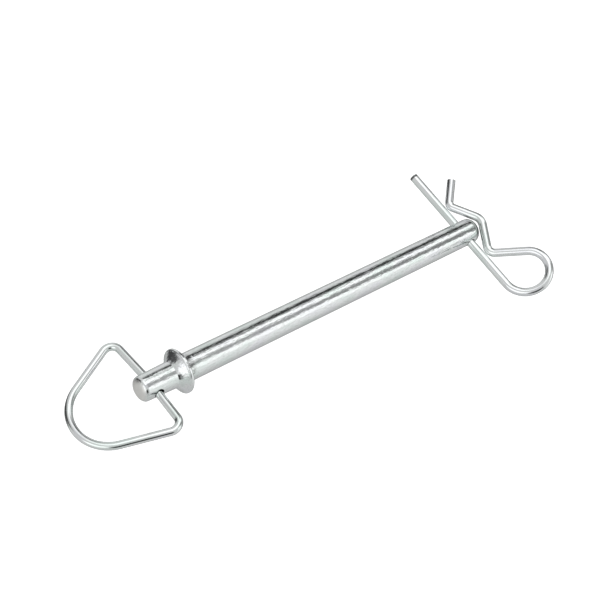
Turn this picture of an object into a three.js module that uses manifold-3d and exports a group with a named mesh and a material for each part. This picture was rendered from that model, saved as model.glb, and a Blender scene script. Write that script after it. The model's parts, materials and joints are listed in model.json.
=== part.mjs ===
// Hitch pin with a swinging wire handle and an R-shaped retaining clip.
//
// Millimetres, +Z up. The origin is the centre of the pin head's flat end face, and the pin's
// axis runs along +X to the tip. The handle's crossbar runs along Y. The R-clip is drawn flat in
// its own XY plane, its straight leg along its +X, and its group turns that plane into the
// cross-hole near the pin's tip. The pin is shown lying down: the handle hangs below the axis,
// and the clip's loop droops a little on the -Y side.

import * as THREE from 'three';
import { mergeVertices } from 'three/addons/utils/BufferGeometryUtils.js';
import Module from 'manifold-3d';

const wasm = await Module();
wasm.setup();

// Pin: one forging, turned about X.
const SHANK_RADIUS = 7.94;
const PIN_LENGTH = 254.8;
const TIP_NOSE_LENGTH = 4.5;
const TIP_NOSE_DEPTH = 2.3;
const HEAD_END_RADIUS = 7.21;
const HEAD_ROOT_RADIUS = 7.68;
const HEAD_ROUND = 2.6;
const FLARE_START = 21.5;
const FLARE_HOLLOW = 0.45;
const RIM_RADIUS = 12.83;
const RIM_WIDTH = 2.2;
const RIM_ROUND = 0.8;
const SEAT_X = 28.2;
const SEAT_FILLET_DEPTH = 1.5;
const SEAT_FILLET_LENGTH = 5;
const PIN_SIDES = 48;
const EDGE_STEPS = 5;

// Cross-holes, each a clearance hole for its wire.
const HANDLE_HOLE_X = 9.3;
const HANDLE_HOLE_RADIUS = 2.95;
const CLIP_HOLE_X = 246.8;
const CLIP_HOLE_RADIUS = 3.05;
const HOLE_SIDES = 24;

// Handle: a rounded triangle of wire whose two ends meet inside the head's cross-hole.
const HANDLE_WIRE_RADIUS = 2.25;
const HANDLE_HALF_WIDTH = 34;
const HANDLE_CORNER_DROP = 1.36;
const HANDLE_REACH = 46.5;
const HANDLE_APEX_HALF_WIDTH = 14.87;
const HANDLE_CORNER_BEND = 5.3;
const HANDLE_APEX_BEND = 22.4;
const HANDLE_END_GAP = 0.6;
const HANDLE_SIDE_SHIFT = 1.9;
const HANDLE_REST_ANGLE = -16.3;

// R-clip, in its own plane: x along the straight leg from the pin's axis, y towards the wavy leg.
const CLIP_WIRE_RADIUS = 2.65;
const CLIP_LEG_END = 49.7;
const CLIP_LOOP_X = -42.14;
const CLIP_LOOP_RADIUS = 15.19;
const CLIP_LOOP_TOP_RADIUS = 12.8;
const CLIP_ROOT = [-20.1, 4.1];
const CLIP_HUMP = [0.04, 14.9];
const CLIP_TOE = [19.8, 4.7];
const CLIP_PRONG_END = [32.1, 16.6];
const CLIP_ROOT_BEND = 5;
const CLIP_HUMP_BEND = 8;
const CLIP_TOE_BEND = 4;
const CLIP_LEG_SPLIT = -41.2;
const CLIP_JOINT_GAP = 0.3;
const CLIP_ROLL = 8.3;
const CLIP_LEAN = 36;
const WIRE_SIDES = 12;
const BEND_STEP = 15;

const radians = THREE.MathUtils.degToRad;
const point = (x, y) => new THREE.Vector2(x, y);

// A merged, closed copy of a geometry, without the slivers that collapse on a lathe's axis.
function closed(geometry) {
  const bare = geometry.index ? geometry.toNonIndexed() : geometry.clone();
  bare.deleteAttribute('normal');
  bare.deleteAttribute('uv');
  const merged = mergeVertices(bare, 1e-4);
  const kept = [];
  for (let i = 0; i < merged.index.count; i += 3) {
    const [a, b, c] = [0, 1, 2].map((k) => merged.index.getX(i + k));
    if (a !== b && b !== c && c !== a) kept.push(a, b, c);
  }
  merged.setIndex(kept);
  return merged;
}

function toSolid(geometry) {
  const merged = closed(geometry);
  return new wasm.Manifold(new wasm.Mesh({
    numProp: 3,
    vertProperties: Float32Array.from(merged.attributes.position.array),
    triVerts: Uint32Array.from(merged.index.array),
  }));
}

function toGeometry(solid) {
  const mesh = solid.getMesh();
  const geometry = new THREE.BufferGeometry();
  geometry.setAttribute('position', new THREE.BufferAttribute(mesh.vertProperties, 3));
  geometry.setIndex(new THREE.BufferAttribute(mesh.triVerts, 1));
  geometry.computeVertexNormals();
  return geometry;
}

// Points of an arc in the profile plane, from one angle to another, in degrees.
function arc(centre, radius, from, to, steps = EDGE_STEPS) {
  const points = [];
  for (let i = 0; i <= steps; i++) {
    const angle = radians(from + ((to - from) * i) / steps);
    points.push(point(centre.x + radius * Math.cos(angle), centre.y + radius * Math.sin(angle)));
  }
  return points;
}

// A quarter of an ellipse in the profile plane, about a centre, between two angles in degrees.
function ellipse(centre, length, depth, from, to) {
  return arc(point(0, 0), 1, from, to)
    .map((p) => point(centre.x + length * p.x, centre.y + depth * p.y));
}

// The forging's half outline, as (x along the pin, radius), from the head's end to the tip.
function pinOutline() {
  const rimFront = SEAT_X - RIM_WIDTH;
  const flareTop = RIM_RADIUS - RIM_ROUND;
  const flare = new THREE.QuadraticBezierCurve(
    point(FLARE_START, HEAD_ROOT_RADIUS),
    point(
      (FLARE_START + rimFront) / 2 + FLARE_HOLLOW,
      (HEAD_ROOT_RADIUS + flareTop) / 2 - FLARE_HOLLOW,
    ),
    point(rimFront, flareTop),
  );
  const fillet = point(SEAT_X + SEAT_FILLET_LENGTH, SHANK_RADIUS + SEAT_FILLET_DEPTH);
  const nose = point(PIN_LENGTH - TIP_NOSE_LENGTH, SHANK_RADIUS - TIP_NOSE_DEPTH);
  return [
    point(0, 0),
    ...arc(point(HEAD_ROUND, HEAD_END_RADIUS - HEAD_ROUND), HEAD_ROUND, 180, 90),
    ...flare.getPoints(EDGE_STEPS),
    ...arc(point(rimFront + RIM_ROUND, flareTop), RIM_ROUND, 150, 90),
    ...arc(point(SEAT_X - RIM_ROUND, flareTop), RIM_ROUND, 90, 0),
    ...ellipse(fillet, SEAT_FILLET_LENGTH, SEAT_FILLET_DEPTH, 180, 270),
    ...ellipse(nose, TIP_NOSE_LENGTH, TIP_NOSE_DEPTH, 90, 0),
    point(PIN_LENGTH, 0),
  ];
}

// A round cutter through the pin at x, along Y and turned about the pin's axis by roll degrees.
function crossDrill(x, radius, roll) {
  const drill = new THREE.CylinderGeometry(radius, radius, 4 * SHANK_RADIUS, HOLE_SIDES);
  drill.rotateX(radians(roll));
  drill.translate(x, 0, 0);
  return toSolid(drill);
}

function pinGeometry() {
  const profile = pinOutline().map((p) => point(p.y, p.x));
  const turned = new THREE.LatheGeometry(profile, PIN_SIDES);
  turned.rotateZ(-Math.PI / 2);
  const drilled = toSolid(turned)
    .subtract(crossDrill(HANDLE_HOLE_X, HANDLE_HOLE_RADIUS, 0))
    .subtract(crossDrill(CLIP_HOLE_X, CLIP_HOLE_RADIUS, CLIP_ROLL));
  return toGeometry(drilled);
}

// A wire's centreline, given as stations of a point and a direction, one station for each step.
class WireLine extends THREE.Curve {
  constructor(stations) {
    super();
    this.stations = stations;
  }

  station(t) {
    return this.stations[Math.round(t * (this.stations.length - 1))];
  }

  getPointAt(t, target = new THREE.Vector3()) {
    return target.copy(this.station(t).at);
  }

  getTangentAt(t, target = new THREE.Vector3()) {
    return target.copy(this.station(t).along);
  }
}

const station = (at, along) => ({
  at: new THREE.Vector3(at.x, at.y, 0),
  along: new THREE.Vector3(along.x, along.y, 0).normalize(),
});

// Stations round a bend, about a centre, from one angle to another in degrees.
function bend(centre, radius, from, to) {
  const steps = Math.max(2, Math.ceil(Math.abs(to - from) / BEND_STEP));
  const turn = Math.sign(to - from);
  return Array.from({ length: steps + 1 }, (_, i) => {
    const angle = radians(from + ((to - from) * i) / steps);
    const out = point(Math.cos(angle), Math.sin(angle));
    const at = out.clone().multiplyScalar(radius).add(centre);
    return station(at, point(-turn * out.y, turn * out.x));
  });
}

// Stations round the corner at b between a and c, bent to the given radius.
function corner(a, b, c, radius) {
  const into = b.clone().sub(a).normalize();
  const away = c.clone().sub(b).normalize();
  const turn = Math.sign(into.cross(away));
  const swing = Math.acos(into.dot(away));
  const start = b.clone().addScaledVector(into, -radius * Math.tan(swing / 2));
  const centre = start.add(point(-into.y, into.x).multiplyScalar(turn * radius));
  const first = THREE.MathUtils.radToDeg(Math.atan2(-turn * into.x, turn * into.y));
  return bend(centre, radius, first, first + turn * THREE.MathUtils.radToDeg(swing));
}

function wireGeometry(stations, radius) {
  const section = new THREE.Shape().absarc(0, 0, radius, 0, 2 * Math.PI, false);
  const swept = new THREE.ExtrudeGeometry(section, {
    steps: stations.length - 1,
    curveSegments: WIRE_SIDES,
    bevelEnabled: false,
    extrudePath: new WireLine(stations),
  });
  return closed(swept);
}

// Handle, drawn with its apex towards -X and its crossbar along Y, about the hole's centre.
function handleStations() {
  const side = [
    point(0, HANDLE_END_GAP / 2),
    point(-HANDLE_CORNER_DROP, HANDLE_HALF_WIDTH),
    point(-HANDLE_REACH, HANDLE_APEX_HALF_WIDTH),
  ];
  const mirrored = side.map((p) => point(p.x, -p.y));
  const [start, shoulder, apex] = side;
  const [finish, farShoulder, farApex] = mirrored;
  return [
    station(start, shoulder.clone().sub(start)),
    ...corner(start, shoulder, apex, HANDLE_CORNER_BEND),
    ...corner(shoulder, apex, farApex, HANDLE_APEX_BEND),
    ...corner(apex, farApex, farShoulder, HANDLE_APEX_BEND),
    ...corner(farApex, farShoulder, finish, HANDLE_CORNER_BEND),
    station(finish, finish.clone().sub(farShoulder)),
  ];
}

const clipLoopCentre = point(CLIP_LOOP_X, CLIP_LOOP_RADIUS);
const clipLoopTopCentre = point(
  CLIP_LOOP_X - CLIP_LOOP_RADIUS + CLIP_LOOP_TOP_RADIUS,
  CLIP_LOOP_RADIUS,
);

function clipLegStations() {
  const along = point(-1, 0);
  return [station(point(CLIP_LEG_END, 0), along), station(point(CLIP_LEG_SPLIT, 0), along)];
}

// Lower half of the loop, from the straight leg round to the loop's far side.
function clipLoopStations() {
  const start = station(point(CLIP_LEG_SPLIT - CLIP_JOINT_GAP, 0), point(-1, 0));
  return [start, ...bend(clipLoopCentre, CLIP_LOOP_RADIUS, -90, -180)];
}

// Upper half of the loop, bent a little tighter than the lower half, and the wavy leg: root bend,
// hump over the pin, toe bend and prong.
function clipWavyStations() {
  const [root, hump, toe, prong] = [CLIP_ROOT, CLIP_HUMP, CLIP_TOE, CLIP_PRONG_END]
    .map(([x, y]) => point(x, y));
  const [centre, radius] = [clipLoopTopCentre, CLIP_LOOP_TOP_RADIUS];
  const toRoot = root.clone().sub(centre);
  const leave = Math.atan2(toRoot.y, toRoot.x) + Math.acos(radius / toRoot.length());
  const leaveAngle = THREE.MathUtils.radToDeg(leave);
  const gapAngle = THREE.MathUtils.radToDeg(CLIP_JOINT_GAP / radius);
  const leavePoint = point(Math.cos(leave), Math.sin(leave)).multiplyScalar(radius).add(centre);
  return [
    ...bend(centre, radius, 180 - gapAngle, leaveAngle),
    ...corner(leavePoint, root, hump, CLIP_ROOT_BEND),
    ...corner(root, hump, toe, CLIP_HUMP_BEND),
    ...corner(hump, toe, prong, CLIP_TOE_BEND),
    station(prong, prong.clone().sub(toe)),
  ];
}

function zincMesh(name, geometry, color, roughness) {
  const material = new THREE.MeshStandardMaterial({ color, roughness, metalness: 1 });
  const mesh = new THREE.Mesh(geometry, material);
  mesh.name = name;
  return mesh;
}

function handleMesh() {
  const geometry = wireGeometry(handleStations(), HANDLE_WIRE_RADIUS);
  const handle = zincMesh('bail_handle', geometry, 0xc8cdd0, 0.3);
  handle.position.set(HANDLE_HOLE_X, HANDLE_SIDE_SHIFT, 0);
  handle.rotation.y = radians(HANDLE_REST_ANGLE);
  return handle;
}

function clipGroup() {
  const roll = radians(CLIP_ROLL);
  const lean = radians(CLIP_LEAN);
  const leg = new THREE.Vector3(0, Math.cos(roll), Math.sin(roll));
  const wavy = new THREE.Vector3(
    Math.cos(lean),
    -Math.sin(lean) * Math.sin(roll),
    Math.sin(lean) * Math.cos(roll),
  );
  const across = leg.clone().cross(wavy);
  const clip = new THREE.Group();
  clip.quaternion.setFromRotationMatrix(new THREE.Matrix4().makeBasis(leg, wavy, across));
  clip.position.set(CLIP_HOLE_X, 0, 0);
  const pieces = {
    clip_straight_leg: clipLegStations(),
    clip_loop: clipLoopStations(),
    clip_wavy_leg: clipWavyStations(),
  };
  for (const [name, stations] of Object.entries(pieces)) {
    clip.add(zincMesh(name, wireGeometry(stations, CLIP_WIRE_RADIUS), 0xc4cbca, 0.28));
  }
  return clip;
}

const hitchPin = new THREE.Group();
hitchPin.add(zincMesh('pin', pinGeometry(), 0xcdd1d4, 0.32), handleMesh(), clipGroup());

export default hitchPin;
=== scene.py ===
"""Looks of the hitch pin lock: a forged pin, its wire handle and its R-shaped spring clip.

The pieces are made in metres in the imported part's own frame: +X runs along the pin from its head
to its tip, and +Z is up as the pin lies on a table. Joint places, hole axes and overall sizes come
from the frame; what the frame can't say, such as bend radii and edge rounds, is named below.
"""

import json
import logging
import math
from dataclasses import dataclass, field
from enum import Enum
from typing import Iterable, Optional, Sequence, Union

import bmesh
import bpy
from mathutils import Matrix, Vector, geometry


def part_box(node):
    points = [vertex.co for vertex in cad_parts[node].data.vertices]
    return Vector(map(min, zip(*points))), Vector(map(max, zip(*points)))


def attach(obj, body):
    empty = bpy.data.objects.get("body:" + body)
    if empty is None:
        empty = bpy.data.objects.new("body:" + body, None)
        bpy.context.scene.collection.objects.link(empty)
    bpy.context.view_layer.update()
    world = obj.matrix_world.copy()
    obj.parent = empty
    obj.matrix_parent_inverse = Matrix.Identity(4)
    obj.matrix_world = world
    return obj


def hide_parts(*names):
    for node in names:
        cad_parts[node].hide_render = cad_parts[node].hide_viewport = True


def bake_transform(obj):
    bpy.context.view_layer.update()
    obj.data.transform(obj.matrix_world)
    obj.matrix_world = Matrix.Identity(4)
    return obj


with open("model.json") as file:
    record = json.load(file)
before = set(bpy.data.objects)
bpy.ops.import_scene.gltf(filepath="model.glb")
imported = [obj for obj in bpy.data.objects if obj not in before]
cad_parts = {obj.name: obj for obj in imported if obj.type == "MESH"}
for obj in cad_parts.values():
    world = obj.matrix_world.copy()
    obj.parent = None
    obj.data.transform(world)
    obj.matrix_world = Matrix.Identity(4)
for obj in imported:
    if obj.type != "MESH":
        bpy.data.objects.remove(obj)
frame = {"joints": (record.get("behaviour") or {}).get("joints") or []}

LOG = logging.getLogger("hitch_pin")
MM = 0.001

# A colour Mix node's sockets, by number, because its number and vector sockets share their names.
MIX_SHARE, MIX_FIRST, MIX_SECOND, MIX_COLOUR = 0, 6, 7, 2

Number = Union[int, float]
Operand = Union["Wired", Number]


class Body(str, Enum):
    """The CAD bodies that the pieces ride on."""

    PIN = "pin"
    HANDLE = "handle"
    CLIP_LEG = "clip_leg"
    CLIP_LOOP = "clip_loop"
    CLIP_SPRING_LEG = "clip_spring_leg"


class Slot(str, Enum):
    """The record's material slots."""

    PIN = "pin_zinc"
    HANDLE = "handle_zinc"
    CLIP = "clip_zinc"


class Grain(Enum):
    """Where a finish's lengthwise grain takes its coordinates from."""

    TURNED_ABOUT_X = "object"
    ALONG_WIRE = "wire"


# ------------------------------------------------------------------------------------------------
# Shader maths
# ------------------------------------------------------------------------------------------------


class Wired:
    """A node socket that can be written into arithmetic, which adds the Math nodes it needs."""

    def __init__(self, bench: "NodeBench", socket: bpy.types.NodeSocket) -> None:
        """Wraps one output socket.

        Args:
            bench: The bench that adds nodes to this socket's tree.
            socket: The output socket to wrap.
        """
        self.bench = bench
        self.socket = socket

    def _math(self, operation: str, *operands: Operand) -> "Wired":
        """Adds a Math node of the given operation over the operands."""
        return self.bench.node("ShaderNodeMath", {"operation": operation}, list(operands))

    def __add__(self, other: Operand) -> "Wired":
        """Returns self + other."""
        return self._math("ADD", self, other)

    def __radd__(self, other: Operand) -> "Wired":
        """Returns other + self."""
        return self._math("ADD", other, self)

    def __sub__(self, other: Operand) -> "Wired":
        """Returns self - other."""
        return self._math("SUBTRACT", self, other)

    def __rsub__(self, other: Operand) -> "Wired":
        """Returns other - self."""
        return self._math("SUBTRACT", other, self)

    def __mul__(self, other: Operand) -> "Wired":
        """Returns self * other."""
        return self._math("MULTIPLY", self, other)

    def __rmul__(self, other: Operand) -> "Wired":
        """Returns other * self."""
        return self._math("MULTIPLY", other, self)

    def __truediv__(self, other: Operand) -> "Wired":
        """Returns self / other."""
        return self._math("DIVIDE", self, other)

    def angle_from(self, other: "Wired") -> "Wired":
        """Returns the angle, in radians, of the point whose height is self and reach is other."""
        return self._math("ARCTAN2", self, other)

    def ramp(self, low: Number, high: Number) -> "Wired":
        """Returns a smooth step from 0 at low to 1 at high.

        Args:
            low: The value at and below which the step is 0.
            high: The value at and above which the step is 1.

        Returns:
            The stepped value.
        """
        settings = {"interpolation_type": "SMOOTHSTEP", "clamp": True}
        inputs = {"Value": self, "From Min": low, "From Max": high}
        return self.bench.node("ShaderNodeMapRange", settings, inputs)

    def along(self, direction: Sequence[float]) -> "Wired":
        """Returns how far a vector reaches along a direction."""
        settings = {"operation": "DOT_PRODUCT"}
        return self.bench.node("ShaderNodeVectorMath", settings, [self, direction], "Value")

    def split(self) -> tuple["Wired", "Wired", "Wired"]:
        """Returns the X, Y and Z values of a vector."""
        parts = self.bench.make("ShaderNodeSeparateXYZ", {}, {"Vector": self})
        return tuple(Wired(self.bench, parts.outputs[axis]) for axis in "XYZ")


Input = Union[Wired, bpy.types.NodeSocket, Number, Sequence[Number]]


class NodeBench:
    """Adds nodes to one shader tree."""

    def __init__(self, tree: bpy.types.NodeTree) -> None:
        """Starts on an emptied tree.

        Args:
            tree: The material's or world's node tree.
        """
        self.tree = tree
        self.tree.nodes.clear()

    def make(
        self,
        kind: str,
        settings: Optional[dict[str, object]] = None,
        inputs: Union[Sequence[Input], dict[Union[int, str], Input], None] = None,
    ) -> bpy.types.Node:
        """Makes any node.

        Args:
            kind: The node's type, such as ShaderNodeMath.
            settings: The node's own properties; "stops" gives a colour ramp's (place, colour) list.
            inputs: What goes into its sockets, in order or by name: values or links.

        Returns:
            The new node.
        """
        made = self.tree.nodes.new(kind)
        for name, value in (settings or {}).items():
            if name == "stops":
                self._set_stops(made.color_ramp, value)
            else:
                setattr(made, name, value)
        pairs = inputs.items() if isinstance(inputs, dict) else enumerate(inputs or [])
        for key, value in pairs:
            socket = made.inputs[key]
            if isinstance(value, Wired):
                self.tree.links.new(value.socket, socket)
            elif isinstance(value, bpy.types.NodeSocket):
                self.tree.links.new(value, socket)
            else:
                socket.default_value = value
        return made

    def node(
        self,
        kind: str,
        settings: Optional[dict[str, object]] = None,
        inputs: Union[Sequence[Input], dict[Union[int, str], Input], None] = None,
        output: Union[int, str] = 0,
    ) -> Wired:
        """Makes any node and wraps one of its outputs.

        Args:
            kind: The node's type.
            settings: As for make.
            inputs: As for make.
            output: The name or number of the output wanted.

        Returns:
            The wrapped output.
        """
        return Wired(self, self.make(kind, settings, inputs).outputs[output])

    def blend(self, share: Input, first: Input, second: Input) -> Wired:
        """Blends two colours.

        Args:
            share: How much of the second there is, from 0 to 1.
            first: The first colour.
            second: The second colour.

        Returns:
            The blended colour.
        """
        inputs = {MIX_SHARE: share, MIX_FIRST: first, MIX_SECOND: second}
        return self.node("ShaderNodeMix", {"data_type": "RGBA"}, inputs, MIX_COLOUR)

    def noise(self, place: Wired, width: float, stretch: float, detail: float = 2.0) -> Wired:
        """Makes a noise about 0.5 that is drawn out along X.

        Args:
            place: The coordinates, in metres.
            width: How far apart its spots are across X, in metres.
            stretch: How many times longer than wide they are.
            detail: How many finer layers it has.

        Returns:
            The noise.
        """
        scale = (1 / (width * stretch), 1 / width, 1 / width)
        spread = self.node("ShaderNodeMapping", None, {"Vector": place, "Scale": scale})
        inputs = {"Vector": spread, "Scale": 1.0, "Detail": detail, "Roughness": 0.55}
        return self.node("ShaderNodeTexNoise", None, inputs, "Fac")

    @staticmethod
    def _set_stops(ramp: bpy.types.ColorRamp, stops: Sequence[tuple[float, Sequence[float]]]) -> None:
        """Gives a colour ramp its stops."""
        while len(ramp.elements) > 1:
            ramp.elements.remove(ramp.elements[-1])
        ramp.elements[0].position, ramp.elements[0].color = stops[0]
        for place, colour in stops[1:]:
            ramp.elements.new(place).color = colour


def grey(level: float) -> tuple[float, float, float, float]:
    """Returns an opaque grey of a level."""
    return (level, level, level, 1.0)


# ------------------------------------------------------------------------------------------------
# Finishes
# ------------------------------------------------------------------------------------------------


@dataclass(frozen=True)
class Relief:
    """A layer of unevenness, drawn out along the piece: metres, and how many times longer than wide."""

    width: float
    stretch: float
    depth: float


@dataclass(frozen=True)
class ZincFinish:
    """Bright zinc plate over drawn wire.

    Lengths are in metres. The grain runs along the piece, as drawing leaves it.
    """

    name: str
    slot: Slot
    grain: Grain = Grain.ALONG_WIRE
    violet: tuple[float, float, float, float] = (0.865, 0.87, 0.895, 1.0)
    silver: tuple[float, float, float, float] = (0.885, 0.90, 0.90, 1.0)
    green: tuple[float, float, float, float] = (0.81, 0.865, 0.845, 1.0)
    roughness: float = 0.13
    roughness_swing: float = 0.10
    scratches: Relief = Relief(0.3 * MM, 50.0, 0.005 * MM)
    drawn_lines: Relief = Relief(0.9 * MM, 22.0, 0.016 * MM)
    waves: Relief = Relief(2.2 * MM, 3.0, 0.030 * MM)
    dull_spot_width: float = 1.1 * MM
    dull_spot_roughness: float = 0.07
    cloud_width: float = 7 * MM
    frost: tuple[float, float, float, float] = (0.66, 0.675, 0.665, 1.0)
    frost_width: float = 0.75 * MM
    frost_strength: float = 0.15
    # Painted shade: a near-black ring painted round the wire's rounded end, and how far back it reaches.
    end_painted_shade: tuple[float, float, float, float] = (0.16, 0.165, 0.165, 1.0)
    end_painted_shade_length: float = 1.9 * MM

    def _coordinates(self, bench: NodeBench) -> Wired:
        """Returns the vector whose X runs along the piece and whose Y and Z go round it."""
        if self.grain is Grain.ALONG_WIRE:
            return bench.node("ShaderNodeAttribute", {"attribute_name": "grain"}, None, "Vector")
        return bench.node("ShaderNodeTexCoord", None, None, "Object")

    def _relief(self, bench: NodeBench, place: Wired, layer: Relief) -> Wired:
        """Returns one layer's height in metres."""
        return (bench.noise(place, layer.width, layer.stretch) - 0.5) * layer.depth

    def _height(self, bench: NodeBench, place: Wired) -> Wired:
        """Returns the whole surface's height in metres."""
        layers = [self._relief(bench, place, x) for x in (self.scratches, self.drawn_lines, self.waves)]
        return layers[0] + layers[1] + layers[2]

    def _colour(self, bench: NodeBench, place: Wired) -> Wired:
        """Returns the plate's colour: frosted, drifting from violet to green, with a dark ring painted
        as shade round the rounded end where the wire's run starts.
        """
        cloud = bench.noise(place, self.cloud_width, 3.0)
        stops = [(0.36, self.violet), (0.50, self.silver), (0.64, self.green)]
        plate = bench.node("ShaderNodeValToRGB", {"stops": stops}, {"Fac": cloud})
        crystals = bench.noise(place, self.frost_width, 2.5, 3.0).ramp(0.48, 0.70)
        frosted = bench.blend(crystals * self.frost_strength, plate, self.frost)
        if self.grain is Grain.TURNED_ABOUT_X:
            return frosted
        along, _, _ = place.split()
        # Painted shade round the wire's rounded end, stopping just short of the cut face.
        edge = along.ramp(self.end_painted_shade_length, self.end_painted_shade_length * 0.6) * along.ramp(0.0, 0.1 * MM)
        return bench.blend(edge, frosted, self.end_painted_shade)

    def _roughness(self, bench: NodeBench, place: Wired) -> Wired:
        """Returns the roughness, with lines along the grain and duller spots."""
        lines = bench.noise(place, self.scratches.width * 2, self.scratches.stretch)
        dull = bench.noise(place, self.dull_spot_width, 2.0).ramp(0.55, 0.75)
        swing = (lines - 0.5) * self.roughness_swing
        return self.roughness + swing + dull * self.dull_spot_roughness

    def build(self) -> bpy.types.Material:
        """Returns the finish as a material."""
        material = bpy.data.materials.new(self.name)
        material.use_nodes = True
        bench = NodeBench(material.node_tree)
        place = self._coordinates(bench)
        height = self._height(bench, place)
        inputs = {"Strength": 1.0, "Distance": 1.0, "Height": height}
        bump = bench.node("ShaderNodeBump", None, inputs, "Normal")
        inputs = {
            "Base Color": self._colour(bench, place),
            "Metallic": 1.0,
            "Roughness": self._roughness(bench, place),
            "Normal": bump,
        }
        shader = bench.node("ShaderNodeBsdfPrincipled", None, inputs)
        bench.make("ShaderNodeOutputMaterial", None, {"Surface": shader})
        return material


@dataclass(frozen=True)
class ForgedZincFinish(ZincFinish):
    """Bright zinc plate over the pin: a turned shank, and a forged head that is less even."""

    grain: Grain = Grain.TURNED_ABOUT_X
    drawn_lines: Relief = Relief(1.1 * MM, 12.0, 0.06 * MM)
    waves: Relief = Relief(2.0 * MM, 2.2, 0.16 * MM)
    hammering: Relief = Relief(4.0 * MM, 1.2, 0.045 * MM)
    frost_strength: float = 0.42
    forged_length: float = 26 * MM
    forged_fade: float = 3 * MM
    face_depth: float = 2.3 * MM
    face_roughness: float = 0.30
    # Where the painted shade on the shank behind the collar sits, and how far it reaches.
    corner: float = 31.0 * MM
    corner_reach: float = 4.0 * MM
    # Where the painted shade on the nose starts, and how far it fades in.
    nose_start: float = 249.4 * MM
    nose_fade: float = 3 * MM
    # Painted shade strengths: on the nose where the clip touches it, and in the corner behind the
    # collar.
    nose_shade_strength: float = 0.7
    corner_shade_strength: float = 0.75
    patch_width: float = 2.4 * MM
    # The dark grey painted as shade on the nose and behind the collar.
    painted_shade_tone: tuple[float, float, float, float] = (0.36, 0.37, 0.36, 1.0)
    warm_face: tuple[float, float, float, float] = (0.90, 0.885, 0.86, 1.0)

    def _height(self, bench: NodeBench, place: Wired) -> Wired:
        """Returns the height, with the hammering on the forged head."""
        along, _, _ = place.split()
        forged = along.ramp(self.forged_length, self.forged_length - self.forged_fade)
        return super()._height(bench, place) + self._relief(bench, place, self.hammering) * forged

    def _end_face(self, place: Wired) -> Wired:
        """Returns a mask of the sheared face at the head's end."""
        along, _, _ = place.split()
        return along.ramp(self.face_depth, self.face_depth / 5)

    def _colour(self, bench: NodeBench, place: Wired) -> Wired:
        """Returns the colour: warm on the end face, with painted shade on the shank just behind the
        collar and on the nose where the clip touches it.
        """
        along, _, _ = place.split()
        # Painted shade on the shank just behind the collar, where the collar shades it.
        reach = self.corner_reach
        ahead = along.ramp(self.corner + reach, self.corner)
        behind = along.ramp(self.corner - 0.75 * reach, self.corner - 0.7 * reach)
        patchy = bench.noise(place, self.patch_width, 1.0).ramp(0.40, 0.60)
        # Painted shade on the nose, where the clip touches it and shades it.
        nose = along.ramp(self.nose_start, self.nose_start + self.nose_fade)
        nose_painted_shade = nose * (patchy * 0.25 + self.nose_shade_strength)
        painted_shade = ahead * behind * patchy * self.corner_shade_strength + nose_painted_shade
        # Blends the painted shade over the plate.
        with_painted_shade = bench.blend(painted_shade, super()._colour(bench, place), self.painted_shade_tone)
        return bench.blend(self._end_face(place), with_painted_shade, self.warm_face)

    def _roughness(self, bench: NodeBench, place: Wired) -> Wired:
        """Returns the roughness, which is duller on the end face."""
        return super()._roughness(bench, place) + self._end_face(place) * self.face_roughness


# ------------------------------------------------------------------------------------------------
# Wire
# ------------------------------------------------------------------------------------------------


@dataclass
class WireLine:
    """The centreline of a bent wire, in its own XY plane, in metres."""

    bend_step: float = 4.0
    points: list[Vector] = field(default_factory=list)

    def go(self, *places: Sequence[float]) -> "WireLine":
        """Adds straight runs to the given places, and returns the line."""
        self.points += [Vector((x, y, 0)) for x, y in places]
        return self

    def arc(self, centre: Vector, radius: float, start: float, end: float) -> "WireLine":
        """Adds an arc.

        Args:
            centre: The arc's centre.
            radius: Its radius.
            start: The angle it starts at, in degrees.
            end: The angle it ends at, in degrees.

        Returns:
            The line.
        """
        steps = max(3, math.ceil(abs(end - start) / self.bend_step))
        for i in range(steps + 1):
            angle = math.radians(start + (end - start) * i / steps)
            self.points.append(centre + radius * Vector((math.cos(angle), math.sin(angle), 0)))
        return self

    def corner(self, before: Vector, at: Vector, after: Vector, radius: float) -> "WireLine":
        """Adds the bend round a corner between two straight runs.

        Args:
            before: A point on the run into the corner.
            at: Where the two runs' lines meet.
            after: A point on the run away from it.
            radius: The centreline's bend radius.

        Returns:
            The line.
        """
        into = (at - before).normalized()
        away = (after - at).normalized()
        turn = math.copysign(1.0, into.cross(away).z)
        swing = math.degrees(into.angle(away))
        start = at - into * radius * math.tan(math.radians(swing) / 2)
        centre = start + Vector((-into.y, into.x, 0)) * turn * radius
        first = math.degrees(math.atan2(-turn * into.x, turn * into.y))
        return self.arc(centre, radius, first, first + turn * swing)


@dataclass(frozen=True)
class WireEnd:
    """A wire's cut end: how far back its edge is rounded, and by how much of the radius."""

    length: float
    depth: float
    steps: int = 6


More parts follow.
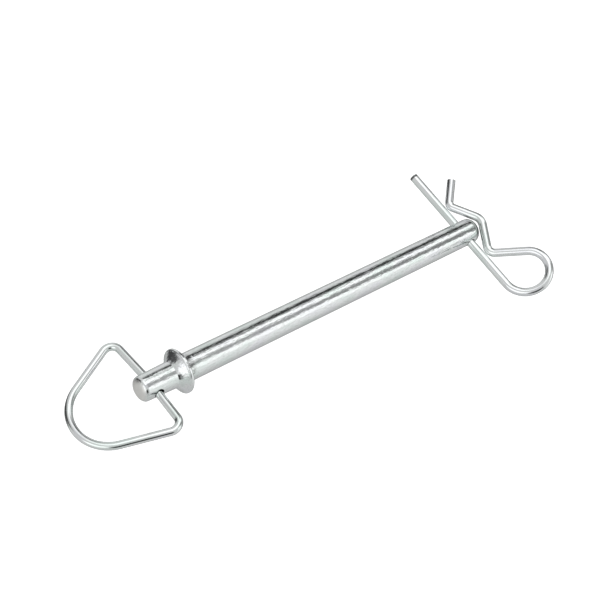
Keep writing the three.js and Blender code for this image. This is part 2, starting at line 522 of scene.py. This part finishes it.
class WireSweep:
    """Geometry Nodes that sweep a round wire along a line of points and dress it."""

    SHARP_ANGLE = math.radians(35)
    INPUTS = {
        "Centreline": "NodeSocketGeometry",
        "Wire Radius": "NodeSocketFloat",
        "Sides": "NodeSocketInt",
        "Sharp Angle": "NodeSocketFloat",
        "Finish": "NodeSocketMaterial",
    }

    def __init__(self) -> None:
        """Builds the tree once, for every wire."""
        self.tree = bpy.data.node_groups.new("wire_sweep", "GeometryNodeTree")
        self.sockets = {
            name: self.tree.interface.new_socket(name, in_out="INPUT", socket_type=kind)
            for name, kind in self.INPUTS.items()
        }
        self.tree.interface.new_socket("Wire", in_out="OUTPUT", socket_type="NodeSocketGeometry")
        self._wire_up()

    def _add(self, kind: str, inputs: Optional[dict] = None, **settings: object) -> bpy.types.Node:
        """Adds a node with its settings and its inputs' values or links."""
        made = self.tree.nodes.new(kind)
        for name, value in settings.items():
            setattr(made, name, value)
        for name, value in (inputs or {}).items():
            if isinstance(value, bpy.types.NodeSocket):
                self.tree.links.new(value, made.inputs[name])
            else:
                made.inputs[name].default_value = value
        return made

    def _wire_up(self) -> None:
        """Lays out the tree: line, taper, round section, grain, smooth sides, sharp end edges."""
        given = self._add("NodeGroupInput").outputs
        line = self._add("GeometryNodeMeshToCurve", {"Mesh": given["Centreline"]})
        flat = self._add("GeometryNodeSetCurveNormal", {"Curve": line.outputs[0]}, mode="Z_UP")
        taper = self._add("GeometryNodeInputNamedAttribute", {"Name": "taper"}, data_type="FLOAT")
        thin = self._add(
            "GeometryNodeSetCurveRadius", {"Curve": flat.outputs[0], "Radius": taper.outputs[0]}
        )
        section = self._add(
            "GeometryNodeCurvePrimitiveCircle",
            {"Resolution": given["Sides"], "Radius": given["Wire Radius"]},
            mode="RADIUS",
        )
        where = self._add("GeometryNodeInputPosition")
        around = self._add(
            "GeometryNodeStoreNamedAttribute",
            {"Geometry": section.outputs[0], "Name": "around", "Value": where.outputs[0]},
            data_type="FLOAT_VECTOR",
            domain="POINT",
        )
        swept = self._add(
            "GeometryNodeCurveToMesh",
            {"Curve": thin.outputs[0], "Profile Curve": around.outputs[0], "Fill Caps": True},
        )
        run = self._add("GeometryNodeInputNamedAttribute", {"Name": "run"}, data_type="FLOAT")
        spot = self._add(
            "GeometryNodeInputNamedAttribute", {"Name": "around"}, data_type="FLOAT_VECTOR"
        )
        parts = self._add("ShaderNodeSeparateXYZ", {"Vector": spot.outputs[0]})
        place = self._add(
            "ShaderNodeCombineXYZ",
            {"X": run.outputs[0], "Y": parts.outputs["X"], "Z": parts.outputs["Y"]},
        )
        grained = self._add(
            "GeometryNodeStoreNamedAttribute",
            {"Geometry": swept.outputs[0], "Name": "grain", "Value": place.outputs[0]},
            data_type="FLOAT_VECTOR",
            domain="POINT",
        )
        smooth = self._add("GeometryNodeSetShadeSmooth", {"Geometry": grained.outputs[0]}, domain="FACE")
        fold = self._add("GeometryNodeInputMeshEdgeAngle")
        sharp = self._add(
            "FunctionNodeCompare",
            {"A": fold.outputs["Unsigned Angle"], "B": given["Sharp Angle"]},
            data_type="FLOAT",
            operation="GREATER_THAN",
        )
        crisp = self._add(
            "GeometryNodeSetShadeSmooth",
            {"Geometry": smooth.outputs[0], "Selection": sharp.outputs[0], "Shade Smooth": False},
            domain="EDGE",
        )
        real = self._add("GeometryNodeRealizeInstances", {"Geometry": crisp.outputs[0]})
        dressed = self._add(
            "GeometryNodeSetMaterial", {"Geometry": real.outputs[0], "Material": given["Finish"]}
        )
        self._add("NodeGroupOutput", {"Wire": dressed.outputs[0]})

    def sweep(
        self,
        name: str,
        line: WireLine,
        radius: float,
        finish: bpy.types.Material,
        place: Matrix,
        ends: tuple[Optional[WireEnd], Optional[WireEnd]] = (None, None),
        run_start: float = 0.0,
        sides: int = 40,
    ) -> bpy.types.Object:
        """Makes a wire piece as a plain mesh in the part's frame.

        Args:
            name: The piece's name.
            line: The wire's centreline, in its own plane.
            radius: The wire's radius.
            finish: The wire's material.
            place: The matrix that puts the wire's plane in the part's frame.
            ends: How the first and last ends are cut, or None where the wire goes on.
            run_start: The grain's length at the first point, to carry on from another piece.
            sides: How many sides the round section has.

        Returns:
            The piece, at the origin, with its place in its mesh.
        """
        base = self._base_mesh(name, line, ends, run_start, radius)
        wire = bpy.data.objects.new(name, base)
        bpy.context.scene.collection.objects.link(wire)
        modifier = wire.modifiers.new("sweep", "NODES")
        modifier.node_group = self.tree
        values = {
            "Wire Radius": radius,
            "Sides": sides,
            "Sharp Angle": self.SHARP_ANGLE,
            "Finish": finish,
        }
        for key, value in values.items():
            modifier[self.sockets[key].identifier] = value
        graph = bpy.context.evaluated_depsgraph_get()
        mesh = bpy.data.meshes.new_from_object(wire.evaluated_get(graph))
        wire.modifiers.clear()
        wire.data = mesh
        mesh.name = name
        bpy.data.meshes.remove(base)
        mesh.transform(place)
        face_outwards(mesh)
        return wire

    @staticmethod
    def _base_mesh(
        name: str,
        line: WireLine,
        ends: tuple[Optional[WireEnd], Optional[WireEnd]],
        run_start: float,
        radius: float,
    ) -> bpy.types.Mesh:
        """Makes the string of edges that the tree sweeps, with its taper and its run."""
        points, taper = list(line.points), [1.0] * len(line.points)
        for end, cut in enumerate(ends):
            if cut is None:
                continue
            if end:
                points.reverse()
                taper.reverse()
            tip, inner = points[0], (points[1] - points[0]).normalized()
            rounded, widths = [], []
            for i in range(cut.steps):
                angle = math.pi / 2 * i / cut.steps
                rounded.append(tip + inner * cut.length * (1 - math.cos(angle)))
                widths.append(1 - cut.depth / radius * (1 - math.sin(angle)))
            points[0:1] = rounded + [tip + inner * cut.length]
            taper[0:1] = widths + [1.0]
            if end:
                points.reverse()
                taper.reverse()
        run = [run_start]
        for before, after in zip(points, points[1:]):
            run.append(run[-1] + (after - before).length)
        mesh = bpy.data.meshes.new(name + "_line")
        mesh.from_pydata(points, [(i, i + 1) for i in range(len(points) - 1)], [])
        for key, values in (("taper", taper), ("run", run)):
            mesh.attributes.new(key, "FLOAT", "POINT").data.foreach_set("value", values)
        return mesh


def face_outwards(mesh: bpy.types.Mesh) -> None:
    """Turns a closed mesh's faces outwards."""
    work = bmesh.new()
    work.from_mesh(mesh)
    bmesh.ops.recalc_face_normals(work, faces=work.faces)
    if work.calc_volume(signed=True) < 0:
        bmesh.ops.reverse_faces(work, faces=work.faces)
    work.to_mesh(mesh)
    work.free()


# ------------------------------------------------------------------------------------------------
# Pin
# ------------------------------------------------------------------------------------------------


def joint(name: str) -> dict:
    """Returns a joint of the frame by name."""
    return next(j for j in frame["joints"] if j["name"] == name)


def turned_mesh(name: str, outline: Sequence[tuple[float, float]], sides: int) -> bpy.types.Mesh:
    """Makes a solid turned about X.

    Args:
        name: The mesh's name.
        outline: Points of (place along X, radius), starting and ending on the axis.
        sides: How many sides the round has.

    Returns:
        The closed mesh.
    """
    start, *rings, end = outline
    points = [(start[0], 0.0, 0.0)]
    for x, radius in rings:
        for i in range(sides):
            angle = 2 * math.pi * i / sides
            points.append((x, radius * math.cos(angle), radius * math.sin(angle)))
    points.append((end[0], 0.0, 0.0))
    last = len(points) - 1
    faces = []
    for i in range(sides):
        j = (i + 1) % sides
        faces.append((0, 1 + j, 1 + i))
        for ring in range(len(rings) - 1):
            near, far = 1 + ring * sides, 1 + (ring + 1) * sides
            faces.append((near + i, near + j, far + j, far + i))
        top = 1 + (len(rings) - 1) * sides
        faces.append((top + i, top + j, last))
    mesh = bpy.data.meshes.new(name)
    mesh.from_pydata(points, [], faces)
    mesh.update()
    face_outwards(mesh)
    return mesh


def quarter(
    middle: tuple[float, float], length: float, depth: float, start: float, end: float, steps: int = 10
) -> list[tuple[float, float]]:
    """Returns the points of an elliptical edge in a turned outline.

    Args:
        middle: The ellipse's centre, as (place along X, distance from the axis).
        length: Its half length along X.
        depth: Its half length across X.
        start: The angle that it starts at, in degrees.
        end: The angle that it ends at, in degrees.
        steps: How many steps it has.

    Returns:
        The points of (place along X, radius).
    """
    angles = [math.radians(start + (end - start) * i / steps) for i in range(steps + 1)]
    return [(middle[0] + length * math.cos(a), middle[1] + depth * math.sin(a)) for a in angles]


@dataclass
class CrossHole:
    """A hole through the pin, with its edges broken."""

    centre: Vector
    axis: Vector
    radius: float
    surface: float
    broken_edge: float = 0.35 * MM
    sides: int = 64

    def cutter(self, name: str) -> bpy.types.Object:
        """Returns the hole as a solid to cut with."""
        out = self.surface
        edge, far = self.broken_edge, 2 * self.surface
        mouth = self.radius + 2 * edge
        half = [(out - edge, self.radius), (out + edge, mouth), (far, mouth)]
        outline = [(-far, 0.0)] + [(-x, r) for x, r in reversed(half)] + half + [(far, 0.0)]
        mesh = turned_mesh(name, outline, self.sides)
        turn = Vector((1, 0, 0)).rotation_difference(self.axis).to_matrix().to_4x4()
        mesh.transform(Matrix.Translation(self.centre) @ turn)
        cutter = bpy.data.objects.new(name, mesh)
        bpy.context.scene.collection.objects.link(cutter)
        return cutter


@dataclass
class Pin:
    """The forging: head stub, flared collar, shank and tip, with its two cross-holes."""

    shank_radius: float = 7.94 * MM
    nose_length: float = 4.5 * MM
    nose_depth: float = 2.3 * MM
    head_end_radius: float = 7.21 * MM
    head_root_radius: float = 7.68 * MM
    head_round: float = 3.4 * MM
    flare_start: float = 21.5 * MM
    flare_hollow: float = 0.45 * MM
    rim_radius: float = 12.83 * MM
    rim_width: float = 2.2 * MM
    rim_round: float = 0.8 * MM
    seat: float = 28.2 * MM
    seat_fillet_depth: float = 1.5 * MM
    seat_fillet_length: float = 5 * MM
    head_squareness: float = 3.0
    head_steps: int = 28
    handle_hole_radius: float = 2.95 * MM
    clip_hole_radius: float = 3.05 * MM
    flare_steps: int = 16
    sides: int = 160
    ring_step: float = 1.0 * MM
    sharp_angle: float = 28.0

    def outline(self) -> list[tuple[float, float]]:
        """Returns the forging's half outline from the head's end to the tip."""
        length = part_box("pin")[1].x
        rim_front = self.seat - self.rim_width
        flare_top = self.rim_radius - self.rim_round
        middle = (
            (self.flare_start + rim_front) / 2 + self.flare_hollow,
            (self.head_root_radius + flare_top) / 2 - self.flare_hollow,
        )
        flare = []
        corners = ((self.flare_start, self.head_root_radius), middle, (rim_front, flare_top))
        for i in range(self.flare_steps + 1):
            t = i / self.flare_steps
            weights = ((1 - t) ** 2, 2 * t * (1 - t), t * t)
            flare.append(tuple(sum(w * c[k] for w, c in zip(weights, corners)) for k in (0, 1)))
        head = []
        for i in range(1, self.head_steps + 1):
            reach = math.sin(math.pi / 2 * i / self.head_steps)
            drop = 1 - math.sqrt(max(0.0, 1 - reach**self.head_squareness))
            head.append((self.head_round * drop, self.head_end_radius * reach))
        edge = self.rim_round
        rim = quarter((rim_front + edge, flare_top), edge, edge, 150, 90)
        rim += quarter((self.seat - edge, flare_top), edge, edge, 90, 0)
        fillet_middle = (self.seat + self.seat_fillet_length, self.shank_radius + self.seat_fillet_depth)
        fillet = quarter(fillet_middle, self.seat_fillet_length, self.seat_fillet_depth, 180, 270, 14)
        nose_middle = (length - self.nose_length, self.shank_radius - self.nose_depth)
        nose = quarter(nose_middle, self.nose_length, self.nose_depth, 90, 0, 16)
        points = [(0.0, 0.0), *head, *flare, *rim, *fillet, *nose, (length, 0.0)]
        return self._with_rings(points)

    def _with_rings(self, points: list[tuple[float, float]]) -> list[tuple[float, float]]:
        """Adds rings along the long straight stretches, so that the holes' edges shade cleanly."""
        fuller = [points[0]]
        for before, after in zip(points, points[1:]):
            run = after[0] - before[0]
            steps = max(1, round(run / self.ring_step)) if min(before[1], after[1]) > 0 else 1
            for i in range(1, steps + 1):
                share = i / steps
                fuller.append(tuple(b + (a - b) * share for b, a in zip(before, after)))
        return fuller

    def build(self, finish: ForgedZincFinish) -> bpy.types.Object:
        """Makes the pin.

        Args:
            finish: The pin's finish.

        Returns:
            The finished piece.
        """
        mesh = turned_mesh("forged_pin", self.outline(), self.sides)
        piece = bpy.data.objects.new("forged_pin", mesh)
        bpy.context.scene.collection.objects.link(piece)
        swing, swivel = joint("handle_swing"), joint("clip_swivel")
        holes = (
            (swing, self.handle_hole_radius, self.head_root_radius),
            (swivel, self.clip_hole_radius, self.shank_radius),
        )
        for number, (hinge, radius, surface) in enumerate(holes):
            hole = CrossHole(Vector(hinge["pos_m"]), Vector(hinge["axis"]), radius, surface)
            self._cut(piece, hole.cutter(f"drill_{number}"))
        piece.data.materials.append(finish.build())
        piece.data.shade_smooth()
        piece.data.set_sharp_from_angle(angle=math.radians(self.sharp_angle))
        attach(piece, Body.PIN.value)
        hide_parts("pin")
        LOG.info("pin: %d faces", len(piece.data.polygons))
        return piece

    @staticmethod
    def _cut(piece: bpy.types.Object, cutter: bpy.types.Object) -> None:
        """Cuts a piece by a cutter and removes the cutter."""
        modifier = piece.modifiers.new("drill", "BOOLEAN")
        modifier.operation = "DIFFERENCE"
        modifier.solver = "EXACT"
        modifier.object = cutter
        graph = bpy.context.evaluated_depsgraph_get()
        mesh = bpy.data.meshes.new_from_object(piece.evaluated_get(graph))
        piece.modifiers.clear()
        old = piece.data
        piece.data = mesh
        mesh.name = piece.name
        bpy.data.meshes.remove(old)
        drill = cutter.data
        bpy.data.objects.remove(cutter)
        bpy.data.meshes.remove(drill)


# ------------------------------------------------------------------------------------------------
# Handle
# ------------------------------------------------------------------------------------------------


@dataclass
class BailHandle:
    """The wire handle: a rounded triangle whose two ends meet inside the head's cross-hole."""

    wire_radius: float = 2.25 * MM
    half_width: float = 34 * MM
    corner_drop: float = 1.36 * MM
    reach: float = 46.5 * MM
    apex_half_width: float = 14.87 * MM
    corner_bend: float = 5.3 * MM
    apex_bend: float = 22.4 * MM
    end_gap: float = 0.6 * MM
    side_shift: float = 1.9 * MM
    rest_angle: float = -16.3
    cut: WireEnd = WireEnd(0.3 * MM, 0.3 * MM)

    def line(self) -> WireLine:
        """Returns the centreline, with the crossbar along Y and the apex towards -X."""
        near = [
            Vector((0, self.end_gap / 2, 0)),
            Vector((-self.corner_drop, self.half_width, 0)),
            Vector((-self.reach, self.apex_half_width, 0)),
        ]
        start, shoulder, apex = near
        finish, far_shoulder, far_apex = (Vector((p.x, -p.y, 0)) for p in near)
        line = WireLine().go(start.xy)
        line.corner(start, shoulder, apex, self.corner_bend)
        line.corner(shoulder, apex, far_apex, self.apex_bend)
        line.corner(apex, far_apex, far_shoulder, self.apex_bend)
        line.corner(far_apex, far_shoulder, finish, self.corner_bend)
        return line.go(finish.xy)

    def build(self, sweep: WireSweep, finish: ZincFinish) -> bpy.types.Object:
        """Makes the handle.

        Args:
            sweep: The wire-sweeping nodes.
            finish: The wire's finish.

        Returns:
            The finished piece.
        """
        turn = Matrix.Rotation(math.radians(self.rest_angle), 4, "Y")
        middle = Vector(joint("handle_swing")["pos_m"]) + Vector((0, self.side_shift, 0))
        place = Matrix.Translation(middle) @ turn
        ends = (self.cut, self.cut)
        piece = sweep.sweep(
            "wire_handle", self.line(), self.wire_radius, finish.build(), place, ends
        )
        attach(piece, Body.HANDLE.value)
        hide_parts("bail_handle")
        LOG.info("handle: %d faces", len(piece.data.polygons))
        return piece


# ------------------------------------------------------------------------------------------------
# Clip
# ------------------------------------------------------------------------------------------------


@dataclass
class RetainingClip:
    """The R-clip, in its own plane: x along the straight leg, y towards the wavy leg."""

    wire_radius: float = 2.65 * MM
    leg_end: float = 49.7 * MM
    loop_x: float = -42.14 * MM
    loop_radius: float = 15.19 * MM
    loop_top_radius: float = 12.8 * MM
    root: tuple[float, float] = (-20.1 * MM, 4.1 * MM)
    hump: tuple[float, float] = (0.04 * MM, 14.9 * MM)
    toe: tuple[float, float] = (19.8 * MM, 4.7 * MM)
    prong_end: tuple[float, float] = (32.1 * MM, 16.6 * MM)
    root_bend: float = 5 * MM
    hump_bend: float = 8 * MM
    toe_bend: float = 4 * MM
    leg_split: float = -41.35 * MM
    leg_nose: WireEnd = WireEnd(1.6 * MM, 1.3 * MM)
    prong_cut: WireEnd = WireEnd(0.35 * MM, 0.35 * MM)

    def place(self) -> Matrix:
        """Returns the matrix that puts the clip's plane through the tip's cross-hole."""
        leg = Vector(joint("clip_swivel")["axis"]).normalized()
        across = Vector(joint("clip_flex")["axis"]).normalized()
        wavy = across.cross(leg)
        turn = Matrix((leg, wavy, across)).transposed().to_4x4()
        return Matrix.Translation(Vector(joint("clip_swivel")["pos_m"])) @ turn

    def loop_far(self) -> Vector:
        """Returns the loop's far point, where its lower and upper halves meet."""
        return Vector((self.loop_x - self.loop_radius, self.loop_radius, 0))

    def leg_line(self) -> WireLine:
        """Returns the straight leg's centreline, from its free end."""
        return WireLine().go((self.leg_end, 0), (self.leg_split, 0))

    def loop_line(self) -> WireLine:
        """Returns the loop's lower half, from the straight leg to its far side."""
        line = WireLine().go((self.leg_split, 0))
        centre = Vector((self.loop_x, self.loop_radius, 0))
        return line.arc(centre, self.loop_radius, -90, -180)

    def wavy_line(self) -> WireLine:
        """Returns the loop's upper half and the wavy leg, to the prong's end."""
        radius = self.loop_top_radius
        centre = self.loop_far() + Vector((radius, 0, 0))
        root, hump, toe, prong = (
            Vector((*p, 0)) for p in (self.root, self.hump, self.toe, self.prong_end)
        )
        reach = root - centre
        leave = math.atan2(reach.y, reach.x) + math.acos(radius / reach.length)
        leave_point = centre + radius * Vector((math.cos(leave), math.sin(leave), 0))
        line = WireLine().arc(centre, radius, 180, math.degrees(leave))
        line.corner(leave_point, root, hump, self.root_bend)
        line.corner(root, hump, toe, self.hump_bend)
        line.corner(hump, toe, prong, self.toe_bend)
        return line.go(prong.xy)

    def build(self, sweep: WireSweep, finish: ZincFinish) -> list[bpy.types.Object]:
        """Makes the clip's three stretches of one wire.

        Args:
            sweep: The wire-sweeping nodes.
            finish: The wire's finish.

        Returns:
            The finished pieces.
        """
        place, material = self.place(), finish.build()
        leg_length = self.leg_end - self.leg_split
        half_loop = self.leg_split - self.loop_x + math.pi / 2 * self.loop_radius
        leg_ends = (self.leg_nose, None)
        leg = sweep.sweep(
            "clip_leg_wire", self.leg_line(), self.wire_radius, material, place, leg_ends
        )
        loop = sweep.sweep(
            "clip_loop_wire", self.loop_line(), self.wire_radius, material, place, run_start=leg_length
        )
        wavy = sweep.sweep(
            "clip_wavy_wire",
            self.wavy_line(),
            self.wire_radius,
            material,
            place,
            (None, self.prong_cut),
            run_start=leg_length + half_loop,
        )
        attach(leg, Body.CLIP_LEG.value)
        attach(loop, Body.CLIP_LOOP.value)
        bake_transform(wavy)
        for piece, node in ((leg, "clip_straight_leg"), (loop, "clip_loop"), (wavy, "clip_wavy_leg")):
            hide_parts(node)
            LOG.info("%s: %d faces", piece.name, len(piece.data.polygons))
        return [leg, loop, wavy]


# ------------------------------------------------------------------------------------------------
# Studio
# ------------------------------------------------------------------------------------------------


@dataclass(frozen=True)
class StudioBand:
    """One reading round the pin of how bright the studio's tent is.

    The angle is in degrees about +X, from +Y towards +Z.
    """

    angle: float
    level: float


@dataclass(frozen=True)
class StudioCard:
    """A soft-edged card, dark or bright, hung round the object.

    Its angles are in degrees from the direction it hangs in.
    """

    direction: tuple[float, float, float]
    inner: float
    outer: float
    level: float


@dataclass
class Studio:
    """The light tent, the pale floor and the camera."""

    bands: tuple[StudioBand, ...] = (
        StudioBand(-180, 0.84),
        StudioBand(-165, 0.76),
        StudioBand(-140, 0.66),
        StudioBand(-110, 0.55),
        StudioBand(-60, 0.72),
        StudioBand(-20, 0.80),
        StudioBand(14, 0.76),
        StudioBand(28, 0.62),
        StudioBand(37, 0.28),
        StudioBand(43, 0.04),
        StudioBand(57, 0.03),
        StudioBand(65, 0.30),
        StudioBand(73, 0.60),
        StudioBand(81, 1.14),
        StudioBand(95, 1.22),
        StudioBand(102, 0.66),
        StudioBand(109, 0.40),
        StudioBand(122, 0.36),
        StudioBand(130, 0.70),
        StudioBand(139, 1.12),
        StudioBand(153, 1.16),
        StudioBand(165, 0.88),
        StudioBand(180, 0.84),
    )
    cards: tuple[StudioCard, ...] = (
        StudioCard((-1.0, 0.0, 0.0), 103, 111, 0.63),
        StudioCard((0.0, 0.0, -1.0), 38, 72, 0.55),
        StudioCard((-0.04, 0.06, 0.997), 15, 32, 1.25),
        StudioCard((1.0, 0.0, 0.0), 25, 45, 0.33),
        StudioCard((0.33, 0.47, 0.819), 4, 10, 1.0),
        StudioCard((0.71, -0.37, 0.60), 6, 15, 0.22),
        StudioCard((-0.60, 0.72, 0.35), 10, 21, 0.08),
        StudioCard((-0.42, 0.88, -0.20), 17, 29, 0.06),
        StudioCard((-0.92, -0.25, 0.30), 14, 28, 1.2),
        StudioCard((-0.46, -0.86, 0.22), 14, 25, 0.05),
        StudioCard((0.549, 0.433, -0.715), 25, 55, 0.42),
    )
    tent_tint: tuple[float, float, float, float] = (0.985, 1.0, 0.995, 1.0)
    band_peak: float = 1.25
    camera_place: tuple[float, float, float] = (-0.30424, -0.32556, 0.55028)
    camera_aim: tuple[float, float, float] = (0.11618, 0.00549, 0.00332)
    camera_roll: float = 16.74
    lens: float = 80.75
    floor_size: float = 4.0
    floor_drop: float = 48 * MM
    floor_tone: float = 0.93
    floor_glow: float = 0.62
    floor_tooth: float = 1.2 * MM
    backdrop_share: float = 0.49

    def light(self) -> None:
        """Makes the tent as the world's light: strips beside the pin, then the cards before them."""
        world = bpy.data.worlds.new("light_tent")
        bpy.context.scene.world = world
        world.use_nodes = True
        bench = NodeBench(world.node_tree)
        where = bench.node("ShaderNodeTexCoord", None, None, "Generated")
        _, y, z = where.split()
        turn = z.angle_from(y) / (2 * math.pi) + 0.5
        stops = [((b.angle + 180) / 360, grey(b.level / self.band_peak)) for b in self.bands]
        level = bench.node("ShaderNodeValToRGB", {"stops": stops}, {"Fac": turn}) * self.band_peak
        for card in self.cards:
            facing = where.along(Vector(card.direction).normalized())
            share = facing.ramp(math.cos(math.radians(card.outer)), math.cos(math.radians(card.inner)))
            level = level * (1.0 - share) + share * card.level
        sky = bench.node("ShaderNodeBackground", None, {"Color": self.tent_tint, "Strength": level})
        bench.make("ShaderNodeOutputWorld", None, {"Surface": sky})

    def lay_floor(self, pieces: Iterable[bpy.types.Object]) -> None:
        """Lays the floor as the pieces would rest on it, but low enough for them to swing clear.

        Args:
            pieces: The finished pieces.
        """
        normal, foot = self._resting_plane(pieces)
        turn = Vector((0, 0, 1)).rotation_difference(normal).to_matrix().to_4x4()
        place = Matrix.Translation(foot - normal * self.floor_drop) @ turn
        half = self.floor_size / 2
        corners = [(-half, -half, 0), (half, -half, 0), (half, half, 0), (-half, half, 0)]
        mesh = bpy.data.meshes.new("floor")
        mesh.from_pydata([place @ Vector(c) for c in corners], [], [(0, 1, 2, 3)])
        floor = bpy.data.objects.new("floor", mesh)
        bpy.context.scene.collection.objects.link(floor)
        paper = self._paper()
        mesh.materials.append(paper)
        floor.visible_glossy = False
        self._hang_backdrop(paper)
        LOG.info("floor: tilted %.2f degrees", math.degrees(normal.angle(Vector((0, 0, 1)))))

    def _hang_backdrop(self, paper: bpy.types.Material) -> None:
        """Hangs a pale dome round the floor, which shades nothing and shows in no reflection."""
        shell = bmesh.new()
        radius = self.floor_size * self.backdrop_share
        bmesh.ops.create_uvsphere(shell, u_segments=64, v_segments=32, radius=radius)
        bmesh.ops.reverse_faces(shell, faces=shell.faces)
        mesh = bpy.data.meshes.new("backdrop")
        shell.to_mesh(mesh)
        shell.free()
        mesh.materials.append(paper)
        backdrop = bpy.data.objects.new("backdrop", mesh)
        bpy.context.scene.collection.objects.link(backdrop)
        backdrop.visible_glossy = False
        backdrop.visible_diffuse = False
        backdrop.visible_shadow = False

    @staticmethod
    def _resting_plane(pieces: Iterable[bpy.types.Object]) -> tuple[Vector, Vector]:
        """Returns the normal of, and a point on, the hull face under the pieces' middle."""
        hull = bmesh.new()
        for piece in pieces:
            for vertex in piece.data.vertices:
                hull.verts.new(vertex.co)
        bmesh.ops.convex_hull(hull, input=hull.verts)
        low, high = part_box("pin")
        middle = (low + high) / 2
        best = None
        for face in hull.faces:
            corners = [v.co.copy() for v in face.verts]
            if len(corners) != 3:
                continue
            hit = geometry.intersect_ray_tri(*corners, Vector((0, 0, -1)), middle, True)
            if hit is not None and (best is None or hit.z < best[1].z):
                normal = (corners[1] - corners[0]).cross(corners[2] - corners[0]).normalized()
                best = (normal if normal.z > 0 else -normal, hit)
        hull.free()
        return best

    def _paper(self) -> bpy.types.Material:
        """Returns the floor's pale paper."""
        material = bpy.data.materials.new("pale_paper")
        material.use_nodes = True
        bench = NodeBench(material.node_tree)
        place = bench.node("ShaderNodeTexCoord", None, None, "Object")
        tone = self.floor_tone + (bench.noise(place, self.floor_tooth, 1.0) - 0.5) * 0.01
        colour = bench.node("ShaderNodeCombineColor", None, [tone, tone, tone])
        inputs = {
            "Base Color": colour,
            "Roughness": 0.9,
            "Specular IOR Level": 0.0,
            "Emission Color": colour,
            "Emission Strength": self.floor_glow,
        }
        shader = bench.node("ShaderNodeBsdfPrincipled", None, inputs)
        bench.make("ShaderNodeOutputMaterial", None, {"Surface": shader})
        return material

    def aim_camera(self) -> None:
        """Sets the camera up."""
        data = bpy.data.cameras.new("camera")
        data.lens = self.lens
        data.sensor_width = 36.0
        data.clip_start, data.clip_end = 0.01, 20.0
        camera = bpy.data.objects.new("camera", data)
        bpy.context.scene.collection.objects.link(camera)
        place, aim = Vector(self.camera_place), Vector(self.camera_aim)
        look = (aim - place).to_track_quat("-Z", "Y").to_matrix().to_4x4()
        roll = Matrix.Rotation(math.radians(self.camera_roll), 4, "Z")
        camera.matrix_world = Matrix.Translation(place) @ look @ roll
        bpy.context.scene.camera = camera
        bpy.context.scene.view_settings.view_transform = "Standard"


def main() -> None:
    """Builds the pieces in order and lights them."""
    logging.basicConfig(level=logging.INFO, format="%(name)s %(message)s")
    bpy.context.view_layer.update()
    studio = Studio()
    studio.aim_camera()
    studio.light()
    sweep = WireSweep()
    pieces = [Pin().build(ForgedZincFinish("pin_zinc_plate", Slot.PIN))]
    pieces.append(BailHandle().build(sweep, ZincFinish("handle_zinc_plate", Slot.HANDLE)))
    pieces += RetainingClip().build(sweep, ZincFinish("clip_zinc_plate", Slot.CLIP))
    studio.lay_floor(pieces)


if __name__ == "__main__":
    main()
